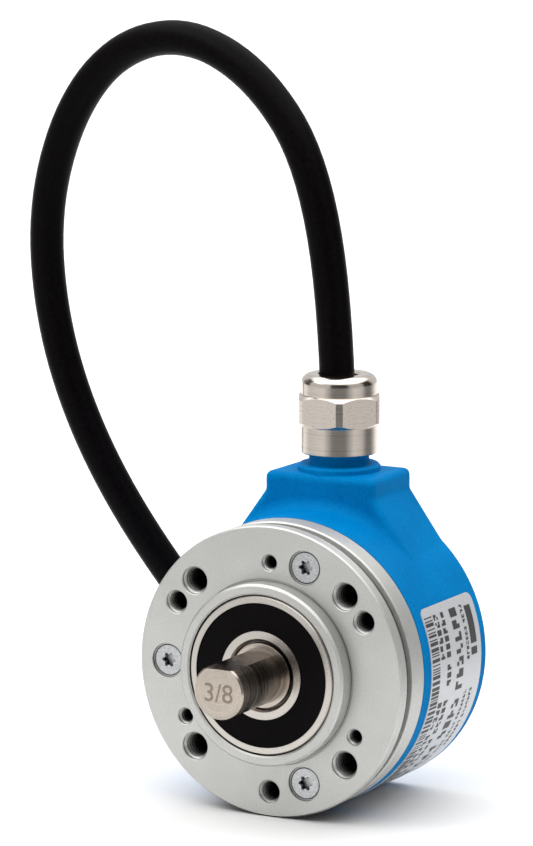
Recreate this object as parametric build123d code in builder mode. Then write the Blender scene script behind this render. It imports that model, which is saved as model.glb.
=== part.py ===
from build123d import *
from math import cos, pi, radians, sin, tan
import os

# Incremental rotary encoder with a servo flange, a solid shaft and a radial cable outlet.
#
# Units are millimetres. The origin is on the shaft axis, in the flange's mounting face.
# The shaft points to -Y, the housing runs to +Y and the cable leaves upwards, to +Z.
# "Depth" is the distance behind the mounting face, along +Y.
# Angles about the shaft are seen from the shaft's end: 0 at +X, 90 at +Z.

os.makedirs("parts", exist_ok=True)

# ---- flange ----
flange_radius = 25.4
flange_depth = 8.7
flange_edge = 0.25
pilot_radius = 15.875
pilot_height = 3.175
pilot_edge = 0.4
undercut_width = 0.4
undercut_depth = 0.1
servo_groove_front = 2.4
servo_groove_back = 4.5
servo_groove_radius = 24.2
spigot_radius = 23.0
spigot_back = 14.0
spigot_bevel = 0.3
seal_groove_front = 11.3
seal_groove_back = 12.7
seal_groove_radius = 22.1
seal_width = 1.3
seal_corner = 0.4
bearing_tube_radius = 12.6
bearing_tube_back = 15.1

# Tapped holes in the mounting face: thread radius, circle radius, angles and depth.
large_thread = 4.826 / 2
large_circle = 41.275 / 2
large_angles = (45, 135, 225, 315)
metric_thread = 4.0 / 2
metric_circle = 42.0 / 2
metric_angles = (30, 150, 270)
small_thread = 2.845 / 2
small_circle = 38.1 / 2
small_angles = (90, 210, 330)
large_hole_depth = 8.0
metric_hole_depth = 7.5
small_hole_depth = 6.5
hole_bevel = 0.15

# Countersunk screws that hold the housing to the flange.
body_screw_circle = 20.0
body_screw_angles = (70, 180, 290)
body_screw_radius = 1.5
body_screw_clearance = 1.6
body_screw_head = 2.8
body_screw_sink = 0.45
body_screw_gap = 0.25
body_screw_end = 19.0
drive_radius = 0.95
drive_lobe_radius = 0.32
drive_lobe_circle = 1.0
drive_depth = 1.2

# ---- bearings ----
front_bearing_front = -3.0
front_bearing_width = 8.0
front_bearing_bore = 6.0
front_bearing_outside = 14.0
front_bearing_mouth = 0.3
rear_bearing_front = 8.0
rear_bearing_width = 7.0
rear_bearing_bore = 4.0
rear_bearing_outside = 11.0
bearing_lip_back = 6.4
bearing_lip_radius = 9.6
ring_edge = 0.4
ring_recess = 1.1
ball_play = 0.04
cage_half_thickness = 0.8
cage_play = 0.05
seal_play = 0.05
seal_thickness = 0.8
seal_sink = 0.2
washer_inner = 9.7
washer_outer = 10.8
wave_radius = 25.3
wave_depth = 1.27

# ---- shaft ----
shaft_radius = 4.7625
shaft_tip = -17.7
shaft_tip_bevel = 0.3
shaft_flat_height = 3.9
journal_neck_radius = 5.6
journal_neck_depth = 1.0
shoulder_radius = 7.4
shaft_end = 20.3
circlip_front = 15.05
circlip_thickness = 0.8
circlip_groove_radius = 3.8
circlip_radius = 5.1
circlip_gap = 1.6
circlip_lug_radius = 1.2
circlip_lug_hole = 0.45
circlip_lug_across = 1.7
circlip_lug_drop = 4.9

# ---- code disc and its light path ----
disc_radius = 15.5
disc_front = 20.3
disc_thickness = 0.6
hub_front = 16.2
hub_barrel_radius = 6.5
hub_flange_radius = 7.5
hub_flange_front = 19.3
hub_boss_radius = 4.7
hub_screw_radius = 1.25
hub_screw_depth = 17.7
hub_screw_length = 2.4
hub_screw_key = 0.65
hub_screw_angles = (0, 120)
clamp_thickness = 0.7
clamp_edge = 0.2
track_radius = 12.8
light_angle = 330
light_radius = 1.5
light_rim = 0.3
light_rim_thickness = 0.5
light_back = 18.3
light_gap = 0.05
lens_height = 0.9
lens_curve = 2.0
holder_outside = 19.4
holder_step = 13.2
holder_inside = 9.6
holder_arm = 15.3
holder_back = 19.3
holder_half_width = 3.2
light_lead_circle = 17.4
light_lead_radius = 0.3
light_lead_spread = 4

# ---- circuit board ----
board_front = 23.6
board_thickness = 1.6
board_back = board_front + board_thickness
board_radius = 21.8
board_top = 17.5
standoff_circle = 19.3
standoff_angles = (0, 120, 240)
standoff_flats = 4.5
standoff_thread = 1.25
standoff_root = 10.5
standoff_bore_front = 19.5
board_screw_front = 20.0
board_screw_head = 2.2
board_screw_height = 1.6
board_screw_slot = 0.5
board_screw_slot_depth = 1.0
sensor_height = 1.4
reticle_height = 0.5
processor_height = 1.2
driver_height = 1.5
capacitor_height = 1.3
socket_length = 11.4
socket_width = 5.0
socket_height = 4.2
socket_up = 12.5
plug_length = 9.8
plug_width = 2.6
plug_seat_depth = 3.6
plug_out = 3.5
core_count = 8
lead_pitch = 1.1

# ---- housing ----
housing_radius = 25.4
housing_front = flange_depth
housing_back = 33.0
housing_edge = 1.0
cavity_radius = 23.05
cavity_back = 31.0
boss_radius = 3.2
boss_back = 22.0
boss_hole_back = 20.0
block_front = 17.6
block_top = 31.4
block_half_front = 10.7
block_half_back = 10.4
block_slope = 36
block_plane_front = 25.15
block_plane_back = 24.8
block_side_run = 2.6
block_inside_half = 15.0
block_inside_height = 5.0
block_edge = 1.2
block_foot = 2.2
block_cavity_half = 8.0
block_cavity_front = 19.6
block_cavity_top = 28.6

# ---- cable gland, on a vertical axis ----
gland_depth = 25.4
gland_seat_radius = 7.25
gland_seat_top = 32.5
gland_seat_bevel = 0.4
gland_root = 20.0
neck_radius = 5.25
neck_top = 42.0
neck_bore = 3.4
seal_pocket_bottom = 39.0
seal_pocket_radius = 4.25
nut_bottom = 34.45
nut_collar_radius = 6.8
nut_hex_bottom = 39.3
nut_hex_top = 44.8
nut_top = 48.3
nut_flats = 14.0
nut_turn = -2
nut_corner_radius = 7.75
nut_hole_radius = 3.4
nut_hex_bevel = 0.7
nut_edge = 0.2
nut_dome_radius = 6.7
nut_dome_wall = 1.8
nut_dome_round = 1.7
nut_hole_bevel = 0.4
clamp_radius = 4.95
clamp_shoulder = 43.4
clamp_tip_radius = 3.85
clamp_tip_inside = 3.5
clamp_tip = 46.3
clamp_slit = 0.5
clamp_slit_bottom = 42.6
bush_shoulder = 43.6
bush_tip = 45.7
bush_tip_radius = 3.35

# ---- label ----
label_front = 11.2
label_back = 30.2
label_start = 25.7
label_sweep = 100
label_thickness = 0.15
label_corner = 1.5

# ---- cable ----
cable_radius = 3.1
floor = -housing_radius
cable_floor = floor + cable_radius
lay_angle = 28.8


def lay(across, along, height):
    """A point given across and along the direction in which the cable is laid on the surface."""
    turn = radians(lay_angle)
    return (cos(turn) * across - sin(turn) * along, sin(turn) * across + cos(turn) * along, height)


# From inside the gland, up and over in an arch, and down beside the housing to the hank.
cable_route = [
    (0, gland_depth, 27),
    (0, gland_depth, 54),
    (-5.5, 26.5, 84),
    (-17.5, 28.5, 99),
    (-33, 30.5, 106),
    (-48.5, 32.5, 102.5),
    (-60, 34.5, 90.5),
    (-66.5, 36, 72),
    (-66, 37.5, 52),
    (-60.5, 39, 33),
    (-50.5, 41.5, 14),
    lay(-9, 58.5, -7),
    lay(5, 62, -18.5),
    lay(19, 71, cable_floor),
    lay(28.5, 85, cable_floor),
]

# The hank is a flat spiral of three runs, side by side, folded at both ends.
hank_start = 84.5
hank_near = 96.0
hank_far = 136.0
run_outer = 30.0
run_return = -13.4
run_inner = 23.6
leads_start = 117.0
tie_along = 106.0
tie_width = 9.0
tie_thickness = 0.6
tie_play = 0.1
lead_radius = 0.42
lead_gap = 0.2
lead_end_spread = 2.2
lead_end_shift = 12.0
lead_end_along = 26.0


def across_shaft(depth):
    """The plane square to the shaft at this depth, seen from the shaft's end."""
    return Plane.XZ.offset(-depth)


def radial_plane(angle):
    """The plane through the shaft axis at this angle: X is the radius and Y the depth."""
    return Plane.XY.rotated((0, -angle, 0))


def outward_plane(angle, radius=0.0):
    """The plane at this radius that faces outward at this angle: X is the depth."""
    return Plane.YZ.rotated((0, -angle, 0)).offset(radius)


def turned(points, mode=Mode.ADD):
    """Turns a closed outline of (radius, depth) points about the shaft axis."""
    with BuildSketch(Plane.XY) as outline:
        Polygon(*points, align=None)
    revolve(outline.sketch, axis=Axis.Y, mode=mode)


def gland_turned(points, mode=Mode.ADD):
    """Turns a closed outline of (radius, height) points about the gland's axis."""
    with BuildSketch(Plane.XZ.offset(-gland_depth)) as outline:
        Polygon(*points, align=None)
    revolve(outline.sketch, axis=Axis((0, gland_depth, 0), (0, 0, 1)), mode=mode)


def on_circle(radius, angles):
    """Points on a circle about the shaft, as (x, z) pairs."""
    return [(radius * cos(radians(a)), radius * sin(radians(a))) for a in angles]


def drill(front, back, radius, circle, angles, mode=Mode.SUBTRACT):
    """Cylinders along the shaft's direction between two depths, one at each angle."""
    with BuildSketch(across_shaft(front)) as holes:
        with Locations(*on_circle(circle, angles)):
            Circle(radius)
    extrude(holes.sketch, amount=front - back, mode=mode)


def bevel_mouths(radius, bevel, circle, angles):
    """Bevels the mouths of holes in the mounting face."""
    with Locations(across_shaft(0)):
        with Locations(*on_circle(circle, angles)):
            Cone(
                radius,
                radius + bevel,
                bevel,
                align=(Align.CENTER, Align.CENTER, Align.MAX),
                mode=Mode.SUBTRACT,
            )


def save(piece, name):
    piece.part.label = name
    export_step(piece.part, f"parts/{name}.step")


# =====================================================================================
# Flange: one turned piece with the pilot, both bearing seats and the housing's spigot.

with BuildPart() as flange:
    turned([
        (front_bearing_outside + front_bearing_mouth, -pilot_height),
        (pilot_radius - pilot_edge, -pilot_height),
        (pilot_radius, -pilot_height + pilot_edge),
        (pilot_radius, undercut_depth),
        (pilot_radius + undercut_width, undercut_depth),
        (pilot_radius + undercut_width, 0),
        (flange_radius - flange_edge, 0),
        (flange_radius, flange_edge),
        (flange_radius, servo_groove_front - flange_edge),
        (flange_radius - flange_edge, servo_groove_front),
        (servo_groove_radius, servo_groove_front),
        (servo_groove_radius, servo_groove_back),
        (flange_radius - flange_edge, servo_groove_back),
        (flange_radius, servo_groove_back + flange_edge),
        (flange_radius, flange_depth - flange_edge),
        (flange_radius - flange_edge, flange_depth),
        (spigot_radius, flange_depth),
        (spigot_radius, seal_groove_front),
        (seal_groove_radius, seal_groove_front),
        (seal_groove_radius, seal_groove_back),
        (spigot_radius, seal_groove_back),
        (spigot_radius, spigot_back - spigot_bevel),
        (spigot_radius - spigot_bevel, spigot_back),
        (bearing_tube_radius, spigot_back),
        (bearing_tube_radius, bearing_tube_back),
        (rear_bearing_outside, bearing_tube_back),
        (rear_bearing_outside, bearing_lip_back),
        (bearing_lip_radius, bearing_lip_back),
        (bearing_lip_radius, front_bearing_front + front_bearing_width),
        (front_bearing_outside, front_bearing_front + front_bearing_width),
        (front_bearing_outside, -pilot_height + front_bearing_mouth),
    ])
    drill(0, large_hole_depth, large_thread, large_circle, large_angles)
    drill(0, metric_hole_depth, metric_thread, metric_circle, metric_angles)
    drill(0, small_hole_depth, small_thread, small_circle, small_angles)
    bevel_mouths(large_thread, hole_bevel, large_circle, large_angles)
    bevel_mouths(metric_thread, hole_bevel, metric_circle, metric_angles)
    bevel_mouths(small_thread, hole_bevel, small_circle, small_angles)
    drill(0, spigot_back, body_screw_clearance, body_screw_circle, body_screw_angles)
    drill(0, body_screw_sink, body_screw_head + body_screw_gap, body_screw_circle, body_screw_angles)
    with Locations(across_shaft(body_screw_sink)):
        with Locations(*on_circle(body_screw_circle, body_screw_angles)):
            Cone(
                body_screw_clearance,
                body_screw_head,
                body_screw_head - body_screw_clearance,
                align=(Align.CENTER, Align.CENTER, Align.MAX),
                mode=Mode.SUBTRACT,
            )
    drill(standoff_root, spigot_back, standoff_thread, standoff_circle, standoff_angles)
save(flange, "flange")

# The three countersunk screws have a six-lobed drive recess.
with BuildPart() as body_screws:
    head_depth = body_screw_head - body_screw_radius
    drill(body_screw_sink, body_screw_end, body_screw_radius, body_screw_circle, body_screw_angles, Mode.ADD)
    with Locations(across_shaft(body_screw_sink)):
        with Locations(*on_circle(body_screw_circle, body_screw_angles)):
            Cone(
                body_screw_radius,
                body_screw_head,
                head_depth,
                align=(Align.CENTER, Align.CENTER, Align.MAX),
            )
    with BuildSketch(across_shaft(body_screw_sink)):
        with Locations(*on_circle(body_screw_circle, body_screw_angles)):
            Circle(drive_radius)
            with PolarLocations(drive_lobe_circle, 6):
                Circle(drive_lobe_radius)
    extrude(amount=-drive_depth, mode=Mode.SUBTRACT)
save(body_screws, "body_screws")

with BuildPart() as housing_seal:
    seal_middle = ((seal_groove_radius + cavity_radius) / 2, (seal_groove_front + seal_groove_back) / 2)
    with BuildSketch(Plane.XY):
        with Locations(seal_middle):
            RectangleRounded(cavity_radius - seal_groove_radius, seal_width, seal_corner)
    revolve(axis=Axis.Y)
save(housing_seal, "housing_seal")


# =====================================================================================
# Ball bearings: both have the same five kinds of piece, at different sizes.

def bearing(name, front, width, bore, outside, lands, shields, ball, count, cage_half):
    """One deep-groove ball bearing.

    lands are the radii of the inner and outer rings' lands beside the balls' grooves, and
    shields are the seals' inner and outer radii.
    """
    land_in, land_out = lands
    shield_in, shield_out = shields
    middle = front + width / 2
    back = front + width
    pitch = (land_in + land_out) / 2
    groove = ball + ball_play

    with BuildPart() as outer_ring:
        turned([
            (outside - ring_edge, front),
            (outside, front + ring_edge),
            (outside, back - ring_edge),
            (outside - ring_edge, back),
            (shield_out, back),
            (shield_out, back - ring_recess),
            (land_out, back - ring_recess),
            (land_out, front + ring_recess),
            (shield_out, front + ring_recess),
            (shield_out, front),
        ])
        with Locations(across_shaft(middle)):
            Torus(pitch, groove, mode=Mode.SUBTRACT)
    save(outer_ring, f"{name}_outer_ring")

    with BuildPart() as inner_ring:
        turned([
            (bore, front + ring_edge),
            (bore + ring_edge, front),
            (shield_in - seal_play, front),
            (shield_in - seal_play, front + ring_recess),
            (land_in, front + ring_recess),
            (land_in, back - ring_recess),
            (shield_in - seal_play, back - ring_recess),
            (shield_in - seal_play, back),
            (bore + ring_edge, back),
            (bore, back - ring_edge),
        ])
        with Locations(across_shaft(middle)):
            Torus(pitch, groove, mode=Mode.SUBTRACT)
    save(inner_ring, f"{name}_inner_ring")

    with BuildPart() as balls:
        with Locations(across_shaft(middle)):
            with PolarLocations(pitch, count):
                Sphere(ball)
    save(balls, f"{name}_balls")

    with BuildPart() as cage:
        turned([
            (pitch - cage_half_thickness, middle - cage_half),
            (pitch + cage_half_thickness, middle - cage_half),
            (pitch + cage_half_thickness, middle + cage_half),
            (pitch - cage_half_thickness, middle + cage_half),
        ])
        for pocket in range(count):
            with BuildSketch(outward_plane(360 * pocket / count)):
                with Locations((middle, 0)):
                    Circle(ball + cage_play)
            extrude(amount=pitch + 2, mode=Mode.SUBTRACT)
    save(cage, f"{name}_cage")

    with BuildPart() as seals:
        for seal_front in (front + seal_sink, back - seal_sink - seal_thickness):
            turned([
                (shield_in, seal_front),
                (shield_out, seal_front),
                (shield_out, seal_front + seal_thickness),
                (shield_in, seal_front + seal_thickness),
            ])
    save(seals, f"{name}_seals")


bearing(
    "front_bearing",
    front_bearing_front,
    front_bearing_width,
    front_bearing_bore,
    front_bearing_outside,
    lands=(8.4, 11.6),
    shields=(7.75, 12.6),
    ball=4.762 / 2,
    count=8,
    cage_half=2.7,
)
bearing(
    "rear_bearing",
    rear_bearing_front,
    rear_bearing_width,
    rear_bearing_bore,
    rear_bearing_outside,
    lands=(6.1, 8.9),
    shields=(5.7, 9.7),
    ball=3.969 / 2,
    count=7,
    cage_half=2.3,
)

# A wave washer with three waves preloads the rear bearing's outer ring.
with BuildPart() as wave_washer:
    turned([
        (washer_inner, bearing_lip_back),
        (washer_outer, bearing_lip_back),
        (washer_outer, rear_bearing_front),
        (washer_inner, rear_bearing_front),
    ])
    for wave in range(3):
        behind = rear_bearing_front + wave_radius - wave_depth
        before = bearing_lip_back - wave_radius + wave_depth
        for angle, cut_middle in ((120 * wave, behind), (120 * wave + 60, before)):
            with BuildSketch(outward_plane(angle, washer_inner / 2)):
                with Locations((cut_middle, 0)):
                    Circle(wave_radius)
            extrude(amount=washer_outer, mode=Mode.SUBTRACT)
save(wave_washer, "wave_washer")

# =====================================================================================
# Rotor: the shaft, its retaining ring, the hub and the code disc.

with BuildPart() as shaft:
    turned([
        (0, shaft_tip),
        (shaft_radius - shaft_tip_bevel, shaft_tip),
        (shaft_radius, shaft_tip + shaft_tip_bevel),
        (shaft_radius, front_bearing_front),
        (journal_neck_radius, front_bearing_front),
        (journal_neck_radius, front_bearing_front + journal_neck_depth),
        (front_bearing_bore, front_bearing_front + journal_neck_depth),
        (front_bearing_bore, front_bearing_front + front_bearing_width),
        (shoulder_radius, front_bearing_front + front_bearing_width),
        (shoulder_radius, rear_bearing_front),
        (rear_bearing_bore, rear_bearing_front),
        (rear_bearing_bore, circlip_front),
        (circlip_groove_radius, circlip_front),
        (circlip_groove_radius, circlip_front + circlip_thickness),
        (rear_bearing_bore, circlip_front + circlip_thickness),
        (rear_bearing_bore, shaft_end),
        (0, shaft_end),
    ])
    with BuildSketch(across_shaft(shaft_tip)):
        with Locations((0, shaft_flat_height)):
            Rectangle(3 * shaft_radius, shaft_radius, align=(Align.CENTER, Align.MIN))
    extrude(amount=shaft_tip - front_bearing_front, mode=Mode.SUBTRACT)
save(shaft, "shaft")

with BuildPart() as shaft_circlip:
    lugs = [(circlip_lug_across * side, -circlip_lug_drop) for side in (-1, 1)]
    with BuildSketch(across_shaft(circlip_front)):
        Circle(circlip_radius)
        with Locations(*lugs):
            Circle(circlip_lug_radius)
        Circle(circlip_groove_radius, mode=Mode.SUBTRACT)
        with Locations((0, -circlip_radius)):
            Rectangle(circlip_gap, circlip_radius, mode=Mode.SUBTRACT)
        with Locations(*lugs):
            Circle(circlip_lug_hole, mode=Mode.SUBTRACT)
    extrude(amount=-circlip_thickness)
save(shaft_circlip, "shaft_circlip")

with BuildPart() as disc_hub:
    turned([
        (rear_bearing_bore, hub_front),
        (hub_barrel_radius, hub_front),
        (hub_barrel_radius, hub_flange_front),
        (hub_flange_radius, hub_flange_front),
        (hub_flange_radius, disc_front),
        (hub_boss_radius, disc_front),
        (hub_boss_radius, disc_front + disc_thickness),
        (rear_bearing_bore, disc_front + disc_thickness),
    ])
    for angle in hub_screw_angles:
        with BuildSketch(outward_plane(angle)):
            with Locations((hub_screw_depth, 0)):
                Circle(hub_screw_radius)
        extrude(amount=hub_barrel_radius + 1, mode=Mode.SUBTRACT)
save(disc_hub, "disc_hub")

with BuildPart() as hub_screws:
    hub_screw_foot = rear_bearing_bore + 0.02
    for angle in hub_screw_angles:
        with BuildSketch(outward_plane(angle, hub_screw_foot)):
            with Locations((hub_screw_depth, 0)):
                Circle(hub_screw_radius)
        extrude(amount=hub_screw_length)
        with BuildSketch(outward_plane(angle, hub_screw_foot + hub_screw_length)):
            with Locations((hub_screw_depth, 0)):
                RegularPolygon(hub_screw_key, 6, major_radius=False)
        extrude(amount=-hub_screw_length / 2, mode=Mode.SUBTRACT)
save(hub_screws, "hub_screws")

with BuildPart() as code_disc:
    turned([
        (hub_boss_radius, disc_front),
        (disc_radius, disc_front),
        (disc_radius, disc_front + disc_thickness),
        (hub_boss_radius, disc_front + disc_thickness),
    ])
save(code_disc, "code_disc")

with BuildPart() as disc_clamp:
    clamp_back = disc_front + disc_thickness + clamp_thickness
    turned([
        (rear_bearing_bore, disc_front + disc_thickness),
        (hub_flange_radius, disc_front + disc_thickness),
        (hub_flange_radius, clamp_back - clamp_edge),
        (hub_flange_radius - clamp_edge, clamp_back),
        (rear_bearing_bore, clamp_back),
    ])
save(disc_clamp, "disc_clamp")

# =====================================================================================
# Light source on the flange, and the board behind the disc.

with BuildPart() as light_holder:
    with BuildSketch(radial_plane(light_angle)):
        Polygon(
            (holder_step, spigot_back),
            (holder_outside, spigot_back),
            (holder_outside, holder_back),
            (holder_inside, holder_back),
            (holder_inside, holder_arm),
            (holder_step, holder_arm),
            align=None,
        )
    extrude(amount=holder_half_width, both=True)
    rim_back = holder_arm + light_rim_thickness
    drill(holder_arm, holder_back, light_radius + light_gap, track_radius, (light_angle,))
    drill(spigot_back, rim_back, light_radius + light_rim + light_gap, track_radius, (light_angle,))
save(light_holder, "light_holder")

with BuildPart() as light_source:
    drill(holder_arm, light_back, light_radius, track_radius, (light_angle,), Mode.ADD)
    drill(holder_arm, rim_back, light_radius + light_rim, track_radius, (light_angle,), Mode.ADD)
save(light_source, "light_source")

with BuildPart() as light_lens:
    with Locations(across_shaft(light_back)):
        with Locations(*on_circle(track_radius, (light_angle,))):
            Cylinder(light_radius, lens_height, align=(Align.CENTER, Align.CENTER, Align.MAX))
            Sphere(lens_curve, mode=Mode.INTERSECT)
save(light_lens, "light_lens")

with BuildPart() as light_leads:
    lead_angles = (light_angle - light_lead_spread, light_angle + light_lead_spread)
    drill(holder_back, board_front, light_lead_radius, light_lead_circle, lead_angles, Mode.ADD)
save(light_leads, "light_leads")

with BuildPart() as main_board:
    with BuildSketch(across_shaft(board_front)):
        Circle(board_radius)
        with Locations((0, board_top)):
            Rectangle(2 * board_radius, board_radius, align=(Align.CENTER, Align.MIN), mode=Mode.SUBTRACT)
        with Locations(*on_circle(standoff_circle, standoff_angles)):
            Circle(standoff_thread, mode=Mode.SUBTRACT)
    extrude(amount=-board_thickness)
save(main_board, "main_board")

with BuildPart() as board_standoffs:
    with BuildSketch(across_shaft(spigot_back)):
        with Locations(*on_circle(standoff_circle, standoff_angles)):
            RegularPolygon(standoff_flats / 2, 6, major_radius=False)
    extrude(amount=spigot_back - board_front)
    drill(standoff_bore_front, board_front, standoff_thread, standoff_circle, standoff_angles)
    drill(standoff_root, spigot_back, standoff_thread, standoff_circle, standoff_angles, Mode.ADD)
save(board_standoffs, "board_standoffs")

with BuildPart() as board_screws:
    head_back = board_back + board_screw_height
    slot_length = board_screw_head + 0.2
    drill(board_screw_front, board_back, standoff_thread, standoff_circle, standoff_angles, Mode.ADD)
    drill(board_back, head_back, board_screw_head, standoff_circle, standoff_angles, Mode.ADD)
    with BuildSketch(across_shaft(head_back)):
        with Locations(*on_circle(standoff_circle, standoff_angles)):
            Rectangle(slot_length, board_screw_slot)
            Rectangle(board_screw_slot, slot_length)
    extrude(amount=board_screw_slot_depth, mode=Mode.SUBTRACT)
save(board_screws, "board_screws")


def on_board(depth, height, places, length, width):
    """Blocks on the board: height is positive towards the disc, negative towards the back."""
    with BuildSketch(across_shaft(depth)) as footprint:
        for across, up, turn in places:
            with Locations(Location((across, up, 0), (0, 0, turn))):
                Rectangle(length, width)
    extrude(footprint.sketch, amount=height)


track_point = on_circle(track_radius, (light_angle,))[0]
with BuildPart() as sensor_chip:
    on_board(board_front, sensor_height, [(*track_point, light_angle)], 6.0, 5.0)
save(sensor_chip, "sensor_chip")

with BuildPart() as reticle:
    on_board(board_front - sensor_height, reticle_height, [(*track_point, light_angle)], 4.4, 3.4)
save(reticle, "reticle")

with BuildPart() as processor_chip:
    on_board(board_back, -processor_height, [(0, -2, 0)], 7.0, 7.0)
save(processor_chip, "processor_chip")

with BuildPart() as driver_chips:
    on_board(board_back, -driver_height, [(-12.5, 2, 90), (12.5, 2, 90)], 5.0, 4.0)
save(driver_chips, "driver_chips")

with BuildPart() as capacitors:
    capacitor_row = [(across, -9, 0) for across in (-7, -3, 3, 7)]
    on_board(board_back, -capacitor_height, capacitor_row + [(0, -13.5, 90)], 2.0, 1.25)
save(capacitors, "capacitors")

plug_depth = board_back + socket_height / 2 + 0.1
plug_bottom = socket_up + socket_width / 2 - plug_seat_depth
plug_top = socket_up + socket_width / 2 + plug_out

with BuildPart() as board_socket:
    on_board(board_back, -socket_height, [(0, socket_up, 0)], socket_length, socket_width)
    with BuildSketch(Plane.XY.offset(plug_bottom)):
        with Locations((0, plug_depth)):
            Rectangle(plug_length, plug_width)
    extrude(amount=plug_seat_depth, mode=Mode.SUBTRACT)
save(board_socket, "board_socket")

with BuildPart() as lead_plug:
    with BuildSketch(Plane.XY.offset(plug_bottom)):
        with Locations((0, plug_depth)):
            Rectangle(plug_length, plug_width)
    extrude(amount=plug_top - plug_bottom)
save(lead_plug, "lead_plug")


def wire_row():
    """Each core's place across a row, from the middle, and its side: +1 and -1 in turn."""
    return [(wire - (core_count - 1) / 2, 1 if wire % 2 else -1) for wire in range(core_count)]


with BuildPart() as inner_leads:
    for place, side in wire_row():
        low = Vector(lead_pitch * place, plug_depth, plug_top + lead_gap)
        high = Vector(0.5 * place, gland_depth + 0.75 * side, cable_route[0][2] - lead_gap)
        with BuildSketch(Plane(low, z_dir=high - low)):
            Circle(lead_radius)
        extrude(amount=(high - low).length)
save(inner_leads, "inner_leads")

# =====================================================================================
# Housing: a cup with a block on top for the cable outlet.

slope = radians(block_slope)


def block_outline(half, plane_distance):
    """The block's section: straight sides at the top, then sides that slope to the cup."""
    shoulder = (plane_distance - half * cos(slope)) / sin(slope)
    low_across = plane_distance * cos(slope) + block_side_run * sin(slope)
    low_height = plane_distance * sin(slope) - block_side_run * cos(slope)
    right_side = [
        (half, block_top),
        (half, shoulder),
        (low_across, low_height),
        (block_inside_half, block_inside_height),
    ]
    left_side = [(-across, height) for across, height in reversed(right_side)]
    return left_side + right_side


with BuildPart() as block:
    with BuildSketch(across_shaft(block_front)):
        Polygon(*block_outline(block_half_front, block_plane_front), align=None)
    with BuildSketch(across_shaft(housing_back)):
        Polygon(*block_outline(block_half_back, block_plane_back), align=None)
    loft(ruled=True)
    upper_edges = block.edges().filter_by(lambda edge: edge.center().Z > housing_radius / 2)
    fillet(upper_edges, block_edge)

with BuildPart() as housing:
    turned([
        (0, housing_front),
        (housing_radius, housing_front),
        (housing_radius, housing_back),
        (0, housing_back),
    ])
    fillet(housing.edges().filter_by(GeomType.CIRCLE).sort_by(Axis.Y)[-1], housing_edge)
    add(block.part)
    arcs = housing.edges().filter_by(GeomType.CIRCLE).filter_by(lambda edge: edge.radius > cavity_radius)
    fillet(arcs.filter_by(lambda edge: abs(edge.center().Y - block_front) < 1), block_foot)
    gland_turned([
        (0, gland_root),
        (gland_seat_radius, gland_root),
        (gland_seat_radius, gland_seat_top - gland_seat_bevel),
        (gland_seat_radius - gland_seat_bevel, gland_seat_top),
        (neck_radius, gland_seat_top),
        (neck_radius, neck_top),
        (0, neck_top),
    ])
    turned([
        (0, housing_front),
        (cavity_radius, housing_front),
        (cavity_radius, cavity_back),
        (0, cavity_back),
    ], Mode.SUBTRACT)
    with BuildSketch(across_shaft(block_cavity_front)):
        Rectangle(2 * block_cavity_half, block_cavity_top, align=(Align.CENTER, Align.MIN))
    extrude(amount=block_cavity_front - cavity_back, mode=Mode.SUBTRACT)
    drill(spigot_back, boss_back, boss_radius, body_screw_circle, body_screw_angles, Mode.ADD)
    drill(spigot_back, boss_hole_back, body_screw_radius, body_screw_circle, body_screw_angles)
    gland_turned([
        (0, gland_root),
        (neck_bore, gland_root),
        (neck_bore, neck_top),
        (0, neck_top),
    ], Mode.SUBTRACT)
    gland_turned([
        (0, seal_pocket_bottom),
        (seal_pocket_radius, seal_pocket_bottom),
        (seal_pocket_radius, neck_top),
        (0, neck_top),
    ], Mode.SUBTRACT)
save(housing, "housing")

with BuildPart() as label:
    with BuildSketch(radial_plane(label_start)):
        with Locations((housing_radius, label_front)):
            Rectangle(label_thickness, label_back - label_front, align=(Align.MIN, Align.MIN))
    revolve(axis=Axis.Y, revolution_arc=label_sweep)
    corners = label.edges().filter_by(lambda edge: edge.length < 2 * label_thickness)
    fillet(corners, label_corner)
save(label, "label")

# =====================================================================================
# Gland: a rubber bush, a clamping cage and a cap nut on the housing's threaded neck.

with BuildPart() as gland_seal:
    gland_turned([
        (cable_radius, seal_pocket_bottom),
        (seal_pocket_radius - seal_play, seal_pocket_bottom),
        (seal_pocket_radius - seal_play, bush_shoulder),
        (bush_tip_radius, bush_tip),
        (cable_radius, bush_tip),
    ])
save(gland_seal, "gland_seal")

with BuildPart() as gland_clamp:
    gland_turned([
        (seal_pocket_radius, neck_top),
        (clamp_radius, neck_top),
        (clamp_radius, clamp_shoulder),
        (clamp_tip_radius, clamp_tip),
        (clamp_tip_inside, clamp_tip),
        (seal_pocket_radius, clamp_shoulder + 0.4),
    ])
    with BuildSketch(Plane.XY.offset(clamp_slit_bottom)):
        with Locations((0, gland_depth)):
            for turn in (0, 45, 90, 135):
                with Locations(Location((0, 0, 0), (0, 0, turn))):
                    Rectangle(3 * clamp_radius, clamp_slit)
    extrude(amount=nut_top - clamp_slit_bottom, mode=Mode.SUBTRACT)
save(gland_clamp, "gland_clamp")

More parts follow.
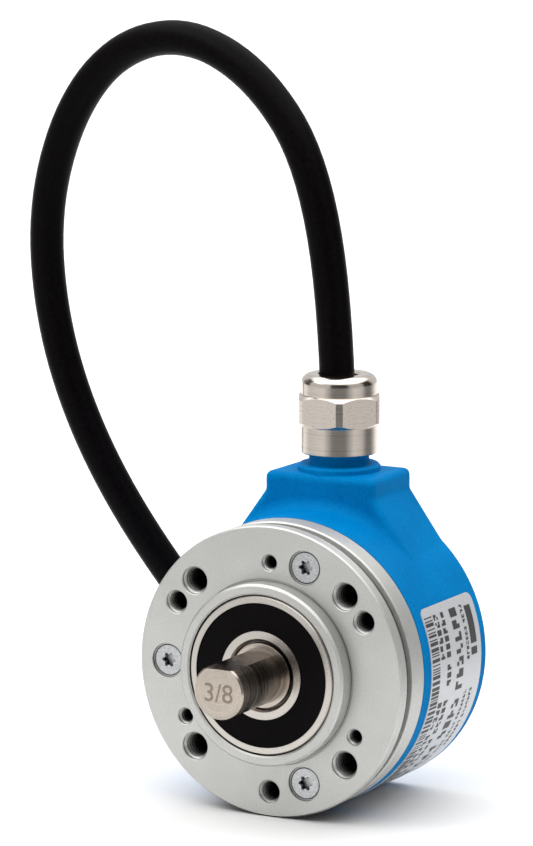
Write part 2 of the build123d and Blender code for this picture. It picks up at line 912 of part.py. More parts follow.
with BuildPart() as gland_nut:
    with BuildSketch(Plane.XY.offset(nut_hex_bottom)):
        with Locations((0, gland_depth)):
            RegularPolygon(nut_flats / 2, 6, major_radius=False, rotation=nut_turn)
    extrude(amount=nut_hex_top - nut_hex_bottom)
    gland_turned([
        (0, nut_hex_bottom),
        (nut_collar_radius, nut_hex_bottom),
        (nut_corner_radius, nut_hex_bottom + nut_hex_bevel),
        (nut_corner_radius, nut_hex_top - nut_hex_bevel),
        (nut_collar_radius, nut_hex_top),
        (0, nut_hex_top),
    ], Mode.INTERSECT)
    gland_turned([
        (0, nut_bottom),
        (nut_collar_radius - nut_edge, nut_bottom),
        (nut_collar_radius, nut_bottom + nut_edge),
        (nut_collar_radius, nut_hex_bottom),
        (0, nut_hex_bottom),
    ])
    with BuildSketch(Plane.XZ.offset(-gland_depth)):
        with BuildLine():
            dome_foot = (nut_dome_radius, nut_hex_top)
            dome_wall = (nut_dome_radius, nut_hex_top + nut_dome_wall)
            dome_rim = (nut_dome_radius - nut_dome_round, nut_top)
            Line((0, nut_hex_top), dome_foot)
            Line(dome_foot, dome_wall)
            TangentArc(dome_wall, dome_rim, tangent=(0, 1))
            Line(dome_rim, (0, nut_top))
            Line((0, nut_top), (0, nut_hex_top))
        make_face()
    revolve(axis=Axis((0, gland_depth, 0), (0, 0, 1)))
    gland_turned([
        (0, nut_bottom),
        (neck_radius + seal_play, nut_bottom),
        (neck_radius + seal_play, clamp_shoulder - seal_play),
        (clamp_radius + seal_play, clamp_shoulder + seal_play),
        (clamp_tip_radius + seal_play, clamp_tip + seal_play),
        (nut_hole_radius, clamp_tip + nut_hole_bevel),
        (nut_hole_radius, nut_top - nut_hole_bevel),
        (nut_hole_radius + nut_hole_bevel, nut_top),
        (0, nut_top),
    ], Mode.SUBTRACT)
save(gland_nut, "gland_nut")


# =====================================================================================
# Cable: a tube to where it reaches the hank, then the hank, its tie and the bare leads.

def corner_radii(points):
    """The largest arc that each corner of the route leaves room for."""
    radii = []
    for before, here, after in zip(points, points[1:], points[2:]):
        run_in = Vector(here) - Vector(before)
        run_out = Vector(after) - Vector(here)
        turn = radians(run_in.get_angle(run_out))
        radii.append(0.45 * min(run_in.length, run_out.length) / tan(turn / 2))
    return radii


radii = corner_radii(cable_route)
print("cable bend radii:", [round(radius, 1) for radius in radii])

with BuildPart() as cable:
    with BuildLine() as cable_line:
        FilletPolyline(*cable_route, radius=radii)
    with BuildSketch(Plane(origin=cable_route[0], z_dir=(0, 0, 1))):
        Circle(cable_radius)
    sweep()
save(cable, "cable")
cable_length = sum(edge.length for edge in cable_line.edges())
print("tube length:", round(cable_length, 1), "volume ratio:",
      round(cable.part.volume / (pi * cable_radius**2 * cable_length), 4))

hank_middle = floor + tie_thickness + (2 * cable_radius - tie_thickness) / 2
outer_middle = (run_outer + run_return) / 2
near_middle = (run_inner + run_return) / 2
near_fold = hank_near - (run_inner - run_return) / 2
far_fold = hank_far + (run_outer - run_return) / 2

with BuildPart() as cable_hank:
    with BuildLine():
        Line(lay(run_outer, hank_start, hank_middle), lay(run_outer, hank_far, hank_middle))
        ThreePointArc(lay(run_outer, hank_far, hank_middle), lay(outer_middle, far_fold, hank_middle),
                      lay(run_return, hank_far, hank_middle))
        Line(lay(run_return, hank_far, hank_middle), lay(run_return, hank_near, hank_middle))
        ThreePointArc(lay(run_return, hank_near, hank_middle), lay(near_middle, near_fold, hank_middle),
                      lay(run_inner, hank_near, hank_middle))
        Line(lay(run_inner, hank_near, hank_middle), lay(run_inner, leads_start, hank_middle))
    with BuildSketch(Plane(origin=lay(run_outer, hank_start, hank_middle),
                           x_dir=lay(1, 0, 0), z_dir=lay(0, 1, 0))):
        Rectangle(2 * cable_radius, 2 * cable_radius - tie_thickness)
    sweep()
save(cable_hank, "cable_hank")

# The tie goes round the first run and the last, which lie side by side.
tie_half = (run_outer - run_inner) / 2 + cable_radius + tie_play
tie_height = 2 * cable_radius + tie_thickness
tie_start = lay((run_outer + run_inner) / 2, tie_along - tie_width / 2, floor)
with BuildPart() as cable_tie:
    with BuildSketch(Plane(origin=tie_start, x_dir=lay(-1, 0, 0), z_dir=lay(0, 1, 0))):
        Rectangle(2 * (tie_half + tie_thickness), tie_height, align=(Align.CENTER, Align.MIN))
        with Locations((0, tie_thickness)):
            Rectangle(
                2 * tie_half,
                tie_height - 2 * tie_thickness,
                align=(Align.CENTER, Align.MIN),
                mode=Mode.SUBTRACT,
            )
    extrude(amount=tie_width)
save(cable_tie, "cable_tie")

with BuildPart() as core_leads:
    for place, side in wire_row():
        across_end = run_inner - lead_end_shift + lead_end_spread * place
        start = Vector(*lay(run_inner + 0.55 * place, leads_start + lead_gap, cable_floor + 0.8 * side))
        end = Vector(*lay(across_end, leads_start + lead_end_along, floor + 1.0 + 0.4 * side))
        with BuildSketch(Plane(start, z_dir=end - start)):
            Circle(lead_radius)
        extrude(amount=(end - start).length)
save(core_leads, "core_leads")
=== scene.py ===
import random
from math import cos, pi, radians, sin

import bpy
from mathutils import Matrix, Vector


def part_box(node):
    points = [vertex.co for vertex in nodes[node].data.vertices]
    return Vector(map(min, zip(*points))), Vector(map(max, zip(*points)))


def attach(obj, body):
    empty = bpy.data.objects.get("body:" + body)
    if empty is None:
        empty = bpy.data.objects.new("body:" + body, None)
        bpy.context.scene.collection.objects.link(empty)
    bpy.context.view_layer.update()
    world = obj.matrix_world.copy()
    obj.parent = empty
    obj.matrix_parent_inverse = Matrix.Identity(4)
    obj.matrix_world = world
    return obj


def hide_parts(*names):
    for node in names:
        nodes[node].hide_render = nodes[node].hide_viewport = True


# Rotary encoder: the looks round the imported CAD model.
#
# Units are metres, in the CAD frame: the shaft points to -Y, up is +Z, and the origin is on the
# shaft axis in the flange's mounting face.

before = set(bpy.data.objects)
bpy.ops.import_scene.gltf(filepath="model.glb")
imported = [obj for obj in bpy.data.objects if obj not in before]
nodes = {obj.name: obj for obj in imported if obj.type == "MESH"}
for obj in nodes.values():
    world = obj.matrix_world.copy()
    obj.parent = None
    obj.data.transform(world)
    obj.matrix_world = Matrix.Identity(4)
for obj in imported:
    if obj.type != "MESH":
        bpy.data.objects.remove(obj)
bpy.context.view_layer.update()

MM = 0.001
ROTOR = "rotor"
STATOR = "stator"

# Each box is a node's lowest and highest corner.
floor_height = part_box("flange")[0].z
nut_low, nut_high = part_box("gland_nut")
gland_middle = (nut_low + nut_high) / 2
shaft_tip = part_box("shaft")[0].y
label_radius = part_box("label")[1].x


# =====================================================================================
# Camera, floor and light

view_azimuth = radians(28.8)
view_elevation = radians(12.6)
view_distance = 0.8
view_lens = 198.8
view_sensor = 36
view_clip = 0.01
frame_centre_up = 42.7 * MM
frame_centre_right = -0.43 * MM
view_right = (cos(view_azimuth), sin(view_azimuth), 0)
view_behind = (sin(view_azimuth), -cos(view_azimuth), 0)


def away_at(azimuth, elevation):
    """The unit direction away from the object at an azimuth and an elevation in radians."""
    return Vector((
        sin(azimuth) * cos(elevation),
        -cos(azimuth) * cos(elevation),
        sin(elevation),
    ))


def place_in_scene(thing):
    """Put an object in the scene, and give it back."""
    bpy.context.scene.collection.objects.link(thing)
    return thing


def make_camera():
    """The camera looks at the flange's face from the front right and a little above."""
    back = away_at(view_azimuth, view_elevation)
    right = Vector(view_right)
    up = back.cross(right)
    camera = place_in_scene(bpy.data.objects.new("camera", bpy.data.cameras.new("camera")))
    camera.data.lens = view_lens
    camera.data.sensor_width = view_sensor
    camera.data.clip_start = view_clip
    camera.location = back * view_distance
    aim = right * frame_centre_right + up * frame_centre_up
    camera.rotation_euler = (aim - camera.location).to_track_quat("-Z", "Y").to_euler()
    bpy.context.scene.camera = camera


def add(tree, kind, inputs=None, **settings):
    """One shader node: its settings, and its inputs as values or as other nodes' outputs."""
    node = tree.nodes.new("ShaderNode" + kind)
    for name, value in settings.items():
        setattr(node, name, value)
    for socket, value in (inputs or {}).items():
        if isinstance(value, bpy.types.NodeSocket):
            tree.links.new(value, node.inputs[socket])
        else:
            node.inputs[socket].default_value = value
    return node


def math(tree, operation, first, second=0.0):
    """The result of a Math node on one or two numbers."""
    return add(tree, "Math", {0: first, 1: second}, operation=operation).outputs[0]


def vector(tree, operation, first, second):
    """The vector that a Vector Math node makes of two others."""
    return add(tree, "VectorMath", {0: first, 1: second}, operation=operation).outputs["Vector"]


def measure(tree, operation, first, second=(0, 0, 0)):
    """The number that a Vector Math node gives: a length, or a product of two vectors."""
    return add(tree, "VectorMath", {0: first, 1: second}, operation=operation).outputs["Value"]


def step_up(tree, value, low, high, first=0.0, last=1.0):
    """A smooth step from first at low to last at high."""
    inputs = {0: value, 1: low, 2: high, 3: first, 4: last}
    return add(tree, "MapRange", inputs, interpolation_type="SMOOTHSTEP").outputs[0]


def mix(tree, share, first, second):
    """A mix of two colours with alpha, or of two nodes' colours."""
    return add(tree, "Mix", {0: share, 6: first, 7: second}, data_type="RGBA").outputs[2]


def grey(level):
    """A grey of this level, with alpha."""
    return (level, level, level, 1)


def ramp(tree, factor, stops):
    """A straight colour ramp over (position, colour) stops."""
    node = add(tree, "ValToRGB", {0: factor})
    elements = node.color_ramp.elements
    while len(elements) < len(stops):
        elements.new(0.5)
    for element, (position, colour) in zip(elements, stops):
        element.position = position
        element.color = colour
    return node.outputs[0]


# The studio's brightness round the object, by the angle in degrees from behind the camera,
# positive to the right: softboxes on both sides, a pale wall behind, and dark gaps between.
studio_round = [
    (-180, 0.9),
    (-132, 0.9),
    (-124, 0.12),
    (-104, 0.12),
    (-96, 0.85),
    (-34, 0.85),
    (-22, 0.08),
    (22, 0.06),
    (34, 0.7),
    (72, 0.7),
    (80, 0.04),
    (110, 0.04),
    (120, 0.9),
    (180, 0.9),
]
# Where the bright ceiling starts and is full, from the horizon's 0 to 1 straight up.
ceiling_starts = 0.55
ceiling_full = 0.75
ceiling_level = 2.9
studio_strength = 0.8


def around(stops):
    """Ramp stops for levels given by the angle from behind the camera."""
    return [((degrees + 180) / 360, grey(level)) for degrees, level in stops]


def turn_of(tree, direction):
    """Where a direction lies round the object: 0.5 towards the camera, rising to the right."""
    along = measure(tree, "DOT_PRODUCT", direction, view_behind)
    aside = measure(tree, "DOT_PRODUCT", direction, view_right)
    angle = math(tree, "ARCTAN2", aside, along)
    return add(tree, "MapRange", {0: angle, 1: -pi, 2: pi}).outputs[0]


def make_world():
    """A studio that is bright overhead, with softboxes and dark gaps round the object."""
    world = bpy.data.worlds.new("studio")
    world.use_nodes = True
    tree = world.node_tree
    tree.nodes.clear()
    direction = add(tree, "TexCoord").outputs["Generated"]
    ring = ramp(tree, turn_of(tree, direction), around(studio_round))
    height = add(tree, "SeparateXYZ", {0: direction}).outputs["Z"]
    overhead = step_up(tree, height, ceiling_starts, ceiling_full)
    light = mix(tree, overhead, ring, grey(ceiling_level))
    background = add(tree, "Background", {0: light, 1: studio_strength})
    output = add(tree, "OutputWorld", {0: background.outputs[0]})
    output.is_active_output = True
    bpy.context.scene.world = world


def make_lamp(name, azimuth, elevation, distance, size, power):
    """A square softbox that faces the object, at an azimuth and an elevation in degrees."""
    away = away_at(radians(azimuth), radians(elevation))
    lamp = place_in_scene(bpy.data.objects.new(name, bpy.data.lights.new(name, "AREA")))
    lamp.data.shape = "SQUARE"
    lamp.data.size = size
    lamp.data.energy = power
    lamp.location = away * distance
    lamp.rotation_euler = (-away).to_track_quat("-Z", "Y").to_euler()


def principled(name, colour, values):
    """A material with one Principled shader: its plain values, its tree and the shader."""
    material = bpy.data.materials.new(name)
    material.use_nodes = True
    tree = material.node_tree
    shader = next(node for node in tree.nodes if node.type == "BSDF_PRINCIPLED")
    shader.inputs["Base Color"].default_value = (*colour, 1)
    for socket, value in values.items():
        shader.inputs[socket].default_value = value
    return material, tree, shader


# How pale the table top is far from the object, by the angle from behind the camera: painted shade
# that stands in for the studio's dark gaps.
table_shade_round = [
    (-180, 0.85),
    (-140, 0.85),
    (-104, 0.42),
    (-50, 0.5),
    (-20, 0.12),
    (20, 0.12),
    (48, 0.5),
    (72, 0.42),
    (90, 0.12),
    (108, 0.12),
    (140, 0.85),
    (180, 0.85),
]
table_level = 0.85
table_pale_to = 0.08
table_shaded_from = 0.2


def make_floor():
    """A table top, pale by the object and behind it, with painted shade elsewhere for the studio's
    dark gaps.
    """
    half = 6.0
    mesh = bpy.data.meshes.new("floor")
    verts = [(-half, -half, 0), (half, -half, 0), (half, half, 0), (-half, half, 0)]
    mesh.from_pydata(verts, [], [(0, 1, 2, 3)])
    floor = place_in_scene(bpy.data.objects.new("floor", mesh))
    floor.location.z = floor_height
    material, tree, shader = principled("floor", (0.86, 0.86, 0.86), {"Roughness": 0.9})
    place = object_place(tree)
    away = step_up(tree, measure(tree, "LENGTH", place), table_pale_to, table_shaded_from)
    shade = ramp(tree, turn_of(tree, place), around(table_shade_round))
    tree.links.new(mix(tree, away, grey(table_level), shade), shader.inputs[0])
    mesh.materials.append(material)


# =====================================================================================
# Materials: one for each of the record's slots

shaft_axis = ((0, 0, 0), (0, 1, 0))
gland_axis = ((0, gland_middle.y, 0), (0, 0, 1))

# The painted shade in holes and in fine gaps: its colour, and how open a place is where it is
# thick (shut) and where it ends (clear).
painted_shade = grey(0.012)
hole_shut = 0.1
hole_clear = 0.46
gap_reach = 0.5 * MM
gap_shut = 0.3
gap_clear = 0.8
metal_shade_reach = 1.5 * MM


def on_shaft_circle(radius, angle, depth):
    """A point at this radius, angle in degrees and depth about the shaft."""
    return Vector((radius * cos(radians(angle)), depth, radius * sin(radians(angle))))


def object_place(tree):
    """The place on the object, in metres from its origin."""
    return add(tree, "TexCoord").outputs["Object"]


def turned_place(tree, axis_line):
    """A place that changes only with the radius and the depth about an axis, as tool marks do."""
    point, axis = axis_line
    flat = tuple(1 - part for part in axis)
    moved = vector(tree, "SUBTRACT", object_place(tree), point)
    radius = measure(tree, "LENGTH", vector(tree, "MULTIPLY", moved, flat))
    depth = measure(tree, "DOT_PRODUCT", moved, axis)
    return add(tree, "CombineXYZ", {0: radius, 1: depth}).outputs[0]


def noise(tree, place, per_mm, detail=2.0, roughness=0.5):
    """Noise with about this many lumps in a millimetre, from 0 to 1."""
    inputs = {"Vector": place, "Scale": per_mm / MM, "Detail": detail, "Roughness": roughness}
    return add(tree, "TexNoise", inputs).outputs[0]


def spread(tree, factor, low, high):
    """A noise's middle part stretched to run from low to high."""
    return add(tree, "MapRange", {0: factor, 1: 0.3, 2: 0.7, 3: low, 4: high}).outputs[0]


def between(tree, factor, first, second):
    """A colour between two plain colours."""
    return mix(tree, factor, (*first, 1), (*second, 1))


def plus(tree, first, second, share=1.0):
    """first plus share times second."""
    return add(tree, "Math", {0: second, 1: share, 2: first}, operation="MULTIPLY_ADD").outputs[0]


def open_share(tree, reach, shut, clear):
    """How open a place is, from 0 where it is shut in within the reach to 1 where it is clear."""
    sky = add(tree, "AmbientOcclusion", {"Distance": reach}, samples=8).outputs["AO"]
    return step_up(tree, sky, shut, clear)


def paint_shade_inside(tree, colour, reach):
    """The colour, with painted shade in fine gaps and in holes and grooves narrower than the
    reach.
    """
    hollow = open_share(tree, reach, hole_shut, hole_clear)
    gap = open_share(tree, gap_reach, gap_shut, gap_clear)
    return mix(tree, math(tree, "MULTIPLY", hollow, gap), painted_shade, colour)


def paint(tree, shader, colour, rough):
    """Take the shader's base colour and its roughness from nodes."""
    tree.links.new(colour, shader.inputs["Base Color"])
    tree.links.new(rough, shader.inputs["Roughness"])


def relief(tree, shader, height, depth, edge=0.0, strength=1.0):
    """Bumps of this depth in metres, and worn edges of this radius."""
    inputs = {"Strength": strength, "Distance": depth, "Height": height}
    if edge:
        inputs["Normal"] = add(tree, "Bevel", {0: edge}, samples=4).outputs[0]
    tree.links.new(add(tree, "Bump", inputs).outputs[0], shader.inputs["Normal"])


def satin_aluminium():
    """Light-grey, finely turned and blasted: nearly even, with a faint speckle."""
    values = {"Metallic": 0.9}
    material, tree, shader = principled("satin_aluminium", (0.70, 0.70, 0.685), values)
    marks = noise(tree, turned_place(tree, shaft_axis), 7.0, 1.0)
    speckle = noise(tree, object_place(tree), 3.2, 3.0, 0.6)
    clouds = noise(tree, object_place(tree), 0.12, 2.0)
    tone = plus(tree, spread(tree, speckle, 0.0, 0.7), spread(tree, clouds, 0.0, 0.3))
    before_hollow_shade = between(tree, tone, (0.51, 0.51, 0.49), (0.65, 0.65, 0.63))
    # Painted shade darkens the flange in its holes, grooves and fine gaps.
    paint(tree, shader, paint_shade_inside(tree, before_hollow_shade, 8 * MM), spread(tree, speckle, 0.44, 0.54))
    relief(tree, shader, plus(tree, speckle, marks, 0.5), 0.006 * MM, 0.14 * MM, 0.7)
    return material


def blue_paint():
    """Satin blue paint with a fine grain over a die casting."""
    values = {"Specular IOR Level": 0.015}
    material, tree, shader = principled("blue_paint", (0.0, 0.19, 0.5), values)
    grain = noise(tree, object_place(tree), 2.4, 3.0, 0.6)
    clouds = noise(tree, object_place(tree), 0.1, 2.0)
    tone = plus(tree, spread(tree, grain, 0.0, 0.6), spread(tree, clouds, 0.0, 0.4))
    colour = between(tree, tone, (0.0, 0.145, 0.40), (0.0, 0.235, 0.585))
    paint(tree, shader, colour, spread(tree, grain, 0.44, 0.58))
    relief(tree, shader, grain, 0.02 * MM, 0.3 * MM, 0.6)
    return material


def label_film():
    """Matt silver-grey film with a faint fleck."""
    values = {"Metallic": 0.35, "Roughness": 0.36}
    material, tree, shader = principled("label_film", (0.6, 0.61, 0.63), values)
    fleck = noise(tree, object_place(tree), 5.0, 2.0)
    colour = between(tree, spread(tree, fleck, 0, 1), (0.55, 0.56, 0.585), (0.65, 0.66, 0.68))
    paint(tree, shader, colour, spread(tree, fleck, 0.32, 0.42))
    waves = noise(tree, object_place(tree), 0.35, 1.0)
    relief(tree, shader, waves, 0.02 * MM, 0, 0.5)
    return material


def label_ink():
    """Black ink, a little thinner in places."""
    values = {"Roughness": 0.45}
    material, tree, shader = principled("label_ink", (0.02, 0.02, 0.022), values)
    patchy = noise(tree, object_place(tree), 4.0, 2.0)
    colour = between(tree, spread(tree, patchy, 0, 1), (0.012, 0.012, 0.014), (0.05, 0.05, 0.053))
    paint(tree, shader, colour, spread(tree, patchy, 0.4, 0.55))
    return material


def metal(name, dark, light, rough, per_mm, axis_line=None, marks=0.0, depth=0.003, edge=0.06):
    """A metal with fine speckle, and turned marks if it was turned about an axis."""
    material, tree, shader = principled(name, light, {"Metallic": 1.0})
    speckle = noise(tree, object_place(tree), per_mm, 3.0, 0.6)
    height = speckle
    tone = spread(tree, speckle, 0.0, 1.0)
    if axis_line:
        lines = noise(tree, turned_place(tree, axis_line), marks, 2.0)
        height = plus(tree, lines, speckle, 0.3)
        tone = spread(tree, plus(tree, lines, speckle, 0.25), 0.05, 1.3)
    # Painted shade darkens the metal in holes, grooves and fine gaps.
    colour = paint_shade_inside(tree, between(tree, tone, dark, light), metal_shade_reach)
    paint(tree, shader, colour, spread(tree, height, *rough))
    relief(tree, shader, height, depth * MM, edge * MM, 0.6)
    return material


body_screw_circle = 20.0 * MM
body_screw_angles = (70, 180, 290)
body_screw_head = 2.8 * MM
# How far inside a head's edge the painted shadow of the gap round it starts and is full.
rim_starts = 0.3 * MM
rim_full = 0.1 * MM
rim_shade = grey(0.025)


def clear_of_rim(tree):
    """1 on the flange screws' heads, falling to 0 at their edges, where a painted shadow of the
    gap sits.
    """
    nearest = None
    for angle in body_screw_angles:
        centre = on_shaft_circle(body_screw_circle, angle, 0)
        away = vector(tree, "SUBTRACT", object_place(tree), centre)
        radius = measure(tree, "LENGTH", vector(tree, "MULTIPLY", away, (1, 0, 1)))
        if nearest is not None:
            radius = math(tree, "MINIMUM", nearest, radius)
        nearest = radius
    rim = (body_screw_head - rim_starts, body_screw_head - rim_full)
    return step_up(tree, nearest, *rim, first=1.0, last=0.0)


def zinc_steel():
    """Zinc plate: pale, slightly blue, with a crystal fleck."""
    material, tree, shader = principled("zinc_steel", (0.7, 0.71, 0.73), {"Metallic": 1.0})
    cells = add(tree, "TexVoronoi", {"Vector": object_place(tree), "Scale": 2.6 / MM})
    fine = noise(tree, object_place(tree), 6.0, 3.0, 0.6)
    tone = plus(tree, spread(tree, fine, 0.0, 0.5), cells.outputs["Distance"], 0.8)
    plate = between(tree, tone, (0.34, 0.35, 0.36), (0.60, 0.61, 0.615))
    # A painted shadow of the gap round each head: a dark rim at the head's edge.
    before_hollow_shade = mix(tree, clear_of_rim(tree), rim_shade, plate)
    # Painted shade darkens the screws in their recesses and fine gaps.
    paint(tree, shader, paint_shade_inside(tree, before_hollow_shade, 2 * MM), spread(tree, fine, 0.3, 0.46))
    relief(tree, shader, tone, 0.008 * MM, 0.08 * MM, 0.6)
    return material


def shaft_steel():
    """Warm stainless steel with feed marks, its turned sides painted darker than its faced ends as
    a painted reflection of the dark studio round it.
    """
    material, tree, shader = principled("shaft_steel", (0.62, 0.57, 0.5), {"Metallic": 1.0})
    place = turned_place(tree, shaft_axis)
    coarse = noise(tree, place, 1.3, 2.0)
    fine = noise(tree, place, 9.0, 2.0)
    fleck = noise(tree, object_place(tree), 4.0, 3.0)
    height = plus(tree, plus(tree, fine, coarse, 1.6), fleck, 0.2)
    flecks = spread(tree, fleck, 0, 1)
    # Painted reflection: the sides that face outwards take the darker colour, the ends the lighter
    # one.
    faced = between(tree, flecks, (0.42, 0.365, 0.315), (0.56, 0.495, 0.43))
    turned = between(tree, flecks, (0.22, 0.185, 0.16), (0.34, 0.29, 0.25))
    normal = add(tree, "TexCoord").outputs["Normal"]
    end_on = math(tree, "ABSOLUTE", measure(tree, "DOT_PRODUCT", normal, shaft_axis[1]))
    before_hollow_shade = mix(tree, end_on, turned, faced)
    # Painted shade darkens the shaft in fine gaps and recesses.
    paint(tree, shader, paint_shade_inside(tree, before_hollow_shade, metal_shade_reach), spread(tree, fine, 0.10, 0.17))
    relief(tree, shader, height, 0.03 * MM, 0.1 * MM, 0.9)
    return material


def plastic(name, dark, light, rough, per_mm, depth=0.01, edge=0.08, values=None):
    """A moulded or painted surface with a fine grain."""
    material, tree, shader = principled(name, light, values or {})
    grain = noise(tree, object_place(tree), per_mm, 3.0, 0.6)
    colour = between(tree, spread(tree, grain, 0, 1), dark, light)
    paint(tree, shader, colour, spread(tree, grain, *rough))
    relief(tree, shader, grain, depth * MM, edge * MM, 0.6)
    return material


def circuit_board():
    """Green solder mask, lighter and raised over the copper tracks."""
    values = {"Specular IOR Level": 0.6}
    material, tree, shader = principled("circuit_board", (0.01, 0.14, 0.06), values)
    place = object_place(tree)
    layout = {
        "Vector": add(tree, "Mapping", {0: place, "Rotation": (pi / 2, 0, 0)}).outputs[0],
        "Scale": 1.0,
        "Mortar Size": 0.16 * MM,
        "Brick Width": 2.6 * MM,
        "Row Height": 1.1 * MM,
    }
    tracks = add(tree, "TexBrick", layout).outputs["Fac"]
    wander = noise(tree, place, 0.3, 2.0)
    on_track = math(tree, "MULTIPLY", tracks, spread(tree, wander, 0, 1))
    colour = between(tree, on_track, (0.008, 0.12, 0.05), (0.03, 0.26, 0.1))
    weave = noise(tree, place, 3.0, 2.0)
    paint(tree, shader, colour, spread(tree, weave, 0.25, 0.4))
    relief(tree, shader, plus(tree, weave, on_track, 2.0), 0.015 * MM, 0.05 * MM, 0.7)
    return material


disc_lines = 180
disc_track_inner = 11.4 * MM
disc_track_outer = 14.2 * MM


def disc_glass():
    """A pale disc with a ring of fine chrome lines near its edge."""
    values = {"Roughness": 0.05}
    material, tree, shader = principled("disc_glass", (0.7, 0.78, 0.8), values)
    parts = add(tree, "SeparateXYZ", {0: object_place(tree)}).outputs
    angle = math(tree, "ARCTAN2", parts["Z"], parts["X"])
    waves = math(tree, "SINE", math(tree, "MULTIPLY", angle, disc_lines))
    lines = math(tree, "GREATER_THAN", waves, 0.0)
    radius = add(tree, "SeparateXYZ", {0: turned_place(tree, shaft_axis)}).outputs["X"]
    inner = math(tree, "GREATER_THAN", radius, disc_track_inner)
    outer = math(tree, "LESS_THAN", radius, disc_track_outer)
    chrome = math(tree, "MULTIPLY", math(tree, "MULTIPLY", inner, outer), lines)
    colour = between(tree, chrome, (0.62, 0.72, 0.74), (0.12, 0.12, 0.13))
    tree.links.new(chrome, shader.inputs["Metallic"])
    haze = noise(tree, object_place(tree), 1.0, 2.0)
    paint(tree, shader, colour, spread(tree, haze, 0.05, 0.12))
    return material


def woven(name, dark, light):
    """A black woven strap, with its threads across each other."""
    material, tree, shader = principled(name, dark, {"Specular IOR Level": 0.1})
    turned = {0: object_place(tree), "Rotation": (0, 0, view_azimuth)}
    place = add(tree, "Mapping", turned).outputs[0]
    weave = {"Vector": place, "Scale": 0.5 / MM, "Distortion": 0.6}
    along = add(tree, "TexWave", weave, bands_direction="X").outputs[1]
    across = add(tree, "TexWave", weave, bands_direction="Y").outputs[1]
    threads = math(tree, "MULTIPLY", along, across)
    fuzz = noise(tree, object_place(tree), 5.0, 3.0, 0.7)
    height = plus(tree, threads, fuzz, 0.4)
    paint(tree, shader, between(tree, height, dark, light), spread(tree, fuzz, 0.7, 0.95))
    relief(tree, shader, height, 0.12 * MM, 0, 0.9)
    return material


# Plain finishes by slot: the dark and the light colour, the roughness from and to, the grain in
# lumps to a millimetre, and what else differs.
metals = {
    "bearing_steel": (
        (0.40, 0.375, 0.345), (0.55, 0.52, 0.48), (0.16, 0.28), 4.0,
        {"axis_line": shaft_axis, "marks": 6.0},
    ),
    "ball_steel": ((0.72, 0.72, 0.72), (0.8, 0.8, 0.8), (0.06, 0.12), 3.0, {}),
    "spring_steel": ((0.34, 0.34, 0.35), (0.48, 0.48, 0.49), (0.3, 0.45), 3.0, {}),
    "brass": (
        (0.6, 0.44, 0.2), (0.78, 0.6, 0.3), (0.22, 0.36), 3.0,
        {"axis_line": shaft_axis, "marks": 5.0},
    ),
    "nickel_brass": (
        (0.40, 0.35, 0.31), (0.70, 0.63, 0.565), (0.10, 0.17), 2.6,
        {"axis_line": gland_axis, "marks": 6.0, "depth": 0.002, "edge": 0.1},
    ),
}
dull = {"Specular IOR Level": 0.04}
plastics = {
    "black_rubber": (
        (0.002, 0.0015, 0.002), (0.006, 0.005, 0.005), (0.5, 0.66), 4.0, {"values": dull},
    ),
    "cage_plastic": ((0.62, 0.56, 0.42), (0.72, 0.67, 0.52), (0.4, 0.55), 3.0, {}),
    "black_plastic": ((0.012, 0.012, 0.012), (0.035, 0.035, 0.036), (0.5, 0.65), 3.0, {}),
    "chip_black": ((0.015, 0.015, 0.017), (0.035, 0.035, 0.04), (0.35, 0.5), 5.0, {}),
    "ceramic_tan": ((0.42, 0.3, 0.19), (0.55, 0.42, 0.28), (0.3, 0.45), 4.0, {}),
    "white_plastic": ((0.74, 0.73, 0.68), (0.84, 0.83, 0.79), (0.4, 0.55), 3.0, {}),
    "core_insulation": ((0.36, 0.36, 0.36), (0.46, 0.46, 0.46), (0.3, 0.4), 3.0, {}),
    "cable_jacket": (
        (0.0015, 0.001, 0.0015), (0.004, 0.003, 0.0035), (0.36, 0.46), 1.6,
        {"depth": 0.02, "edge": 0, "values": dull},
    ),
    "lens_clear": (
        (0.72, 0.76, 0.8), (0.84, 0.86, 0.9), (0.05, 0.12), 1.0, {"depth": 0.002, "edge": 0},
    ),
}


def make_materials():
    """Each material by its slot's name in the record."""
    made = {
        "satin_aluminium": satin_aluminium(),
        "blue_paint": blue_paint(),
        "label_film": label_film(),
        "zinc_steel": zinc_steel(),
        "shaft_steel": shaft_steel(),
        "disc_glass": disc_glass(),
        "circuit_board": circuit_board(),
        "tie_black": woven("tie_black", (0.004, 0.004, 0.0045), (0.022, 0.022, 0.023)),
    }
    for make, finishes in ((metal, metals), (plastic, plastics)):
        for name, (dark, light, rough, per_mm, other) in finishes.items():
            made[name] = make(name, dark, light, rough, per_mm, **other)
    return made


